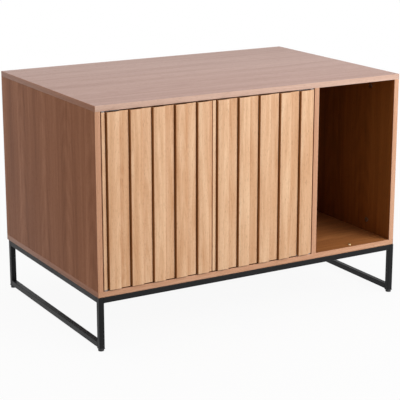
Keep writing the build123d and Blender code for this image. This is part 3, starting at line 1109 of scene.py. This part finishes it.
@dataclass
class HingeFittings:
    """Hinge leaves on the case, and the small sunk screws in every leaf.

    Attributes:
        screw_reach: Places of the screws along a leaf, from its pin end.
        screw_inset: Distance of the screws from the leaf's back edge.
        leaf_thickness: Thickness of a leaf.
        head_radius: Radius of a screw head.
        head_height: Height of a screw head.
        proud: How far a head stands out of the leaf.
    """

    screw_reach: tuple[float, float] = (26 * MM, 45 * MM)
    screw_inset: float = 4.5 * MM
    leaf_thickness: float = 1.25 * MM
    head_radius: float = 2.6 * MM
    head_height: float = 0.5 * MM
    proud: float = 0.12 * MM

    def build(self) -> None:
        """Dress the leaves and set their screws."""
        for side in ("left", "right"):
            for body, leaf in (("cabinet", "case_leaf"), (side + "_door", "door_leaf")):
                screws = Workpiece()
                for level in ("upper", "lower"):
                    node = f"{side}_{level}_hinge_{leaf}"
                    dress_node(node, PLATED_WITH_PAINTED_SHADE)
                    faces_down = (level == "upper") == (leaf == "case_leaf")
                    self._screws(screws, node, side, faces_down)
                screws.place(f"{side}_{leaf}_screws", body, (PLATED_WITH_PAINTED_SHADE,))

    def _screws(self, screws: Workpiece, node: str, side: str, faces_down: bool) -> None:
        """Set the two screws of one leaf.

        Args:
            screws: Piece that the heads are added to.
            node: CAD node of the leaf.
            side: Side of the door.
            faces_down: Whether the heads show from below.
        """
        low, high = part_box(node)
        start, way = (low[0], 1) if side == "left" else (high[0], -1)
        if faces_down:
            face = high[2] - self.leaf_thickness if "case" in node else low[2]
        else:
            face = low[2] + self.leaf_thickness if "case" in node else high[2]
        outward = -1 if faces_down else 1
        y = high[1] - self.screw_inset
        root = face + outward * (self.proud - self.head_height)
        places = [facing((start + way * reach, y, root), (0, 0, outward)) for reach in self.screw_reach]
        radius = self.head_radius
        profile = ((radius, 0.0), (radius, 0.4 * MM), (radius - 0.1 * MM, self.head_height))
        screws.crossed_head(profile, (3.0 * MM, 0.7 * MM, 0.35 * MM), places, 28)


@dataclass
class PushLatches:
    """Push latches under the top board.

    Attributes:
        magnet_radius: Radius of the magnet tip.
        shaft_radius: Radius of the plunger.
        magnet_length: Length of the magnet tip.
        axis_drop: Distance of the plunger below the top board.
        flange: Thickness of the housing's flange.
        screw_reach: Distance of the flange's screws to each side.
        screw_setback: Distance of those screws behind the housing's front.
    """

    magnet_radius: float = 5 * MM
    shaft_radius: float = 3.5 * MM
    magnet_length: float = 4 * MM
    axis_drop: float = 13 * MM
    flange: float = 2 * MM
    screw_reach: float = 12 * MM
    screw_setback: float = 11 * MM

    def build(self) -> None:
        """Build both latches."""
        for side in ("left", "right"):
            dress_node(side + "_latch_housing", PLASTIC)
            self._plunger(side)
            self._trim(side)

    def _plunger(self, side: str) -> None:
        """Build the plunger with its rounded magnet tip.

        Args:
            side: Side of the door.
        """
        low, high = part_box(side + "_latch_plunger")
        middle = ((low[0] + high[0]) / 2, low[1], (low[2] + high[2]) / 2)
        length = high[1] - low[1]
        edge = 0.5 * MM
        plunger = Workpiece()
        profile = (
            (0.0, 0.0), (self.magnet_radius - edge, 0.0), (self.magnet_radius - 0.15 * MM, 0.15 * MM),
            (self.magnet_radius, edge), (self.magnet_radius, self.magnet_length - edge),
            (self.magnet_radius - edge, self.magnet_length), (self.shaft_radius, self.magnet_length),
            (self.shaft_radius, length - edge), (self.shaft_radius - edge, length), (0.0, length),
        )
        plunger.turned(profile, facing(middle, (0, 1, 0)))
        body = side + "_latch_plunger"
        plunger.place(side + "_magnet_plunger", body, (PLASTIC,), (body,))
        face = Workpiece()
        disc = ((0.0, 0.0), (3.6 * MM, 0.0), (3.6 * MM, 0.6 * MM), (0.0, 0.6 * MM))
        face.turned(disc, facing((middle[0], middle[1] - 0.0001, middle[2]), (0, 1, 0)))
        face.place(side + "_magnet_face", body, (PLATED_WITH_PAINTED_SHADE,))

    def _trim(self, side: str) -> None:
        """Build the collar round the plunger and the two screws of the flange.

        Args:
            side: Side of the door.
        """
        low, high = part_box(side + "_latch_housing")
        x = (low[0] + high[0]) / 2
        z = high[2] - self.axis_drop
        collar = Workpiece()
        ring = ((3.8 * MM, -0.5 * MM), (5.6 * MM, -0.5 * MM), (5.9 * MM, -0.2 * MM), (5.9 * MM, 0.4 * MM))
        collar.turned(ring, facing((x, low[1], z), (0, 1, 0)))
        collar.place(side + "_latch_collar", "cabinet", (PLASTIC,))
        screws = Workpiece()
        y, under = low[1] + self.screw_setback, high[2] - self.flange
        places = [facing((x + way * self.screw_reach, y, under), (0, 0, -1)) for way in (-1, 1)]
        profile = ((2.9 * MM, -0.3 * MM), (2.9 * MM, 0.7 * MM), (2.4 * MM, 1.2 * MM), (1.9 * MM, 1.4 * MM))
        screws.crossed_head(profile, (3.0 * MM, 0.8 * MM, 0.8 * MM), places, 28)
        screws.place(side + "_latch_screws", "cabinet", (PLATED_WITH_PAINTED_SHADE,))


@dataclass
class SledFrame:
    """Square-tube frame with its welds, tabs, screws, plugs and feet.

    Attributes:
        weld: Radius of a weld bead.
        weld_pitch: Distance between the ripples of a bead.
        weld_inset: Distance of a bead's ends from the tube's edges.
        weld_seed: Start of the numbers that vary the ripples.
        foot_radius: Radius of a foot.
        foot_height: Height of a foot's disc.
        stem_radius: Radius of a foot's stem.
        thread: Pitch of the stem's thread.
    """

    weld: float = 1.5 * MM
    weld_pitch: float = 1.3 * MM
    weld_inset: float = 2.5 * MM
    weld_seed: int = 11
    foot_radius: float = 8 * MM
    foot_height: float = 6 * MM
    stem_radius: float = 3 * MM
    thread: float = 1.0 * MM

    def build(self) -> None:
        """Build the feet, welds and screws and dress the tubes."""
        corners = [f"{side}_{end}" for side in ("left", "right") for end in ("front", "back")]
        tubes = [corner + "_leg" for corner in corners]
        tubes += [f"{side}_{level}_tube" for side in ("left", "right") for level in ("top", "bottom")]
        for node in tubes + ["front_rail", "back_rail", "frame_tabs"]:
            dress_node(node, STEEL_COAT)
        dress_node("weld_nuts", YELLOW_ZINC)
        for corner in corners:
            dress_node(corner + "_end_plug", PLASTIC)
            self._foot(corner)
        self._welds(corners)
        self._screws()

    def _foot(self, corner: str) -> None:
        """Build one levelling foot with its threaded stem.

        Args:
            corner: Corner of the frame.
        """
        low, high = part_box(corner + "_foot")
        middle = ((low[0] + high[0]) / 2, (low[1] + high[1]) / 2, low[2])
        radius = self.foot_radius
        top = self.foot_height
        profile = [
            (0.0, 0.0), (radius - 1.2 * MM, 0.0), (radius - 0.35 * MM, 0.3 * MM), (radius, 1.1 * MM),
            (radius, top - 1.6 * MM), (radius - 0.3 * MM, top - 0.8 * MM),
            (radius - 1.1 * MM, top - 0.3 * MM), (radius - 2.2 * MM, top - 0.3 * MM),
            (radius - 2.4 * MM, top), (self.stem_radius, top),
        ]
        height = top
        length = high[2] - low[2]
        while height + self.thread < length:
            for share, depth in ((0.2, 0.0), (0.5, 0.35 * MM), (0.8, 0.0)):
                profile.append((self.stem_radius - depth, height + share * self.thread))
            height += self.thread
        profile += [(self.stem_radius - 0.3 * MM, length), (0.0, length)]
        foot = Workpiece()
        foot.turned(profile, Matrix.Translation(middle), 40)
        foot.place(corner + "_turned_foot", corner + "_foot", (PLASTIC,), (corner + "_foot",))

    def _bead(self, welds: Workpiece, start: Point, stop: Point, chance: random.Random) -> None:
        """Lay one rippled bead along a joint.

        Args:
            welds: Piece that the bead is added to.
            start: Where the bead starts.
            stop: Where it stops.
            chance: Source of the small differences between ripples.
        """
        line = Vector(stop) - Vector(start)
        count = max(2, round(line.length / self.weld_pitch))
        for index in range(count + 1):
            spot = Vector(start) + line * (index / count)
            size = self.weld * chance.uniform(0.88, 1.08)
            part = bmesh.new()
            bmesh.ops.create_icosphere(part, subdivisions=2, radius=size)
            for face in part.faces:
                face.smooth = True
            part.transform(Matrix.Translation(spot))
            welds.absorb(part)

    def _welds(self, corners: Sequence[str]) -> None:
        """Lay a bead in each inner corner of the side loops and under the rails.

        Args:
            corners: Corners of the frame.
        """
        chance = random.Random(self.weld_seed)
        welds = Workpiece()
        for corner in corners:
            side, end = corner.split("_")
            low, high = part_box(corner + "_leg")
            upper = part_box(side + "_top_tube")[0][2]
            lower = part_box(side + "_bottom_tube")[1][2]
            y = high[1] if end == "front" else low[1]
            x_span = (low[0] + self.weld_inset, high[0] - self.weld_inset)
            for z in (upper, lower):
                self._bead(welds, (x_span[0], y, z), (x_span[1], y, z), chance)
            x = high[0] if side == "left" else low[0]
            y_span = (low[1] + self.weld_inset, high[1] - self.weld_inset)
            self._bead(welds, (x, y_span[0], upper), (x, y_span[1], upper), chance)
        welds.place("weld_beads", "cabinet", (STEEL_COAT,))

    def _screws(self) -> None:
        """Build the pan heads of the screws on the cabinet's floor."""
        low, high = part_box("frame_screws")
        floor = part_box("bottom_board")[1][2]
        radius = 5 * MM
        tall = high[2] - floor
        depths = (low[1] + radius, high[1] - radius)
        spots = [(x, y) for x in (low[0] + radius, high[0] - radius) for y in depths]
        places = [
            facing((x, y, floor), (0, 0, 1)) @ Matrix.Rotation(0.4 + 1.1 * index, 4, "Z")
            for index, (x, y) in enumerate(spots)
        ]
        profile = (
            (radius, 0.0), (radius, tall * 0.35), (radius - 0.5 * MM, tall * 0.72),
            (radius - 1.3 * MM, tall * 0.93), (radius - 2.1 * MM, tall),
        )
        heads = Workpiece()
        heads.crossed_head(profile, (5.0 * MM, 1.2 * MM, 1.6 * MM), places)
        thick = 2.5 * MM
        foot, neck = low[2] - floor, 0.2 * MM
        shank = ((0.0, foot), (thick, foot), (thick, neck), (0.0, neck))
        for x, y in spots:
            heads.turned(shank, Matrix.Translation((x, y, floor)), 20)
        heads.place("pan_head_screws", "cabinet", (YELLOW_ZINC,), ("frame_screws",))


@dataclass(frozen=True)
class Lamp:
    """One soft lamp.

    Attributes:
        name: Name of the lamp.
        place: Where it hangs.
        aim: What it points at.
        size: Width of its face.
        power: Power in watts.
    """

    name: str
    place: Point
    aim: Point
    size: float
    power: float

    def hang(self) -> None:
        """Hang the lamp in the studio."""
        light = bpy.data.lights.new(self.name, "AREA")
        light.shape = "DISK"
        light.size = self.size
        light.energy = self.power
        lamp = bpy.data.objects.new(self.name, light)
        bpy.context.scene.collection.objects.link(lamp)
        lamp.location = self.place
        lamp.rotation_euler = (Vector(self.aim) - Vector(self.place)).to_track_quat("-Z", "Y").to_euler()


@dataclass
class Studio:
    """Camera, lamps, floor and white surroundings.

    Attributes:
        camera_place: Where the camera stands.
        yaw: Turn of the camera to the right of the depth direction, in degrees.
        pitch: How far the camera looks down, in degrees.
        lens: Focal length for a frame 36 mm wide.
        shift: Rise of the picture in its frame, as a share of the frame's width.
        ambient: Strength of the surroundings as light.
        floor_share: Share of plain white in what the eye sees of the floor under the cabinet.
        floor_reach: Distances from the cabinet's middle at which that share starts to rise and
            reaches the whole, in millimetres.
        floor_half: Half the width of the floor.
        floor_tone: Colour of the floor.
        lamps: The lamps.
    """

    camera_place: Point = (-1.860, -3.1965, 1.2656)
    yaw: float = 30.22
    pitch: float = 14.18
    lens: float = 118.8
    shift: float = -0.05
    ambient: float = 0.5
    floor_share: float = 0.93
    floor_reach: tuple[float, float] = (700.0, 2400.0)
    floor_half: float = 14.0
    floor_tone: Colour = (0.7, 0.7, 0.7, 1.0)
    lamps: tuple[Lamp, ...] = (
        Lamp("key_lamp", (2.2, -3.2, 2.1), (0.1, -0.2, 0.35), 3.2, 117.0),
        Lamp("top_lamp", (-0.6, 0.2, 3.2), (-0.2, 0.0, 0.6), 2.2, 24.0),
    )

    def build(self) -> None:
        """Set up the whole studio."""
        self._camera()
        for lamp in self.lamps:
            lamp.hang()
            log.info("%s hangs in the studio", lamp.name)
        self._floor()
        self._surroundings()
        bpy.context.scene.view_settings.view_transform = "Standard"

    def _camera(self) -> None:
        """Stand the camera where the photograph was taken from."""
        data = bpy.data.cameras.new("camera")
        data.lens = self.lens
        data.sensor_width = 36.0
        data.sensor_fit = "HORIZONTAL"
        data.shift_y = self.shift
        camera = bpy.data.objects.new("camera", data)
        bpy.context.scene.collection.objects.link(camera)
        camera.location = self.camera_place
        camera.rotation_euler = (math.radians(90 - self.pitch), 0.0, math.radians(-self.yaw))
        bpy.context.scene.camera = camera

    @staticmethod
    def _shown(sheet: NodeSheet) -> Signal:
        """Tell where the eye sees the thing itself, or sees it in metal or glass."""
        node = sheet.node("ShaderNodeLightPath").socket.node
        names = ("Is Camera Ray", "Is Glossy Ray", "Is Transmission Ray")
        direct, glossy, through = (Signal(sheet, node.outputs[name]) for name in names)
        return sheet.math("MAXIMUM", sheet.math("MAXIMUM", direct, glossy), through)

    def _floor(self) -> None:
        """Lay a pale floor that keeps the cabinet's shadow."""
        part = bmesh.new()
        bmesh.ops.create_grid(part, x_segments=1, y_segments=1, size=self.floor_half)
        mesh = bpy.data.meshes.new("floor")
        part.to_mesh(mesh)
        part.free()
        floor = bpy.data.objects.new("floor", mesh)
        bpy.context.scene.collection.objects.link(floor)
        material = bpy.data.materials.new("pale_floor")
        material.use_nodes = True
        sheet = NodeSheet(material.node_tree)
        dull = sheet.node("ShaderNodeBsdfDiffuse", {}, {"Color": self.floor_tone})
        white = sheet.node("ShaderNodeEmission", {}, {"Color": WHITE, "Strength": 1.0})
        x, y, _ = sheet.places()
        reach = sheet.math("SQRT", x * x + y * y)
        share = sheet.step(reach, *self.floor_reach) * (1.0 - self.floor_share) + self.floor_share
        blend = sheet.node("ShaderNodeMixShader", {}, {0: self._shown(sheet) * share, 1: dull, 2: white})
        sheet.node("ShaderNodeOutputMaterial", {}, {"Surface": blend})
        mesh.materials.append(material)

    def _surroundings(self) -> None:
        """Surround the studio with white that the eye sees at full strength."""
        world = bpy.data.worlds.new("white_surroundings")
        world.use_nodes = True
        bpy.context.scene.world = world
        sheet = NodeSheet(world.node_tree)
        light = sheet.node("ShaderNodeBackground", {}, {"Color": WHITE, "Strength": self.ambient})
        white = sheet.node("ShaderNodeBackground", {}, {"Color": WHITE, "Strength": 1.0})
        blend = sheet.node("ShaderNodeMixShader", {}, {0: self._shown(sheet), 1: light, 2: white})
        sheet.node("ShaderNodeOutputWorld", {}, {"Surface": blend})


def main() -> None:
    """Build the cabinet piece by piece, then the studio."""
    logging.basicConfig(level=logging.INFO, format="%(message)s")
    Case().build()
    JointHardware().build()
    SlattedDoor("left", seed=7).build()
    SlattedDoor("right", seed=19).build()
    HingeFittings().build()
    PushLatches().build()
    SledFrame().build()
    Studio().build()
    log.info("Both sizes are written")


if __name__ == "__main__":
    main()
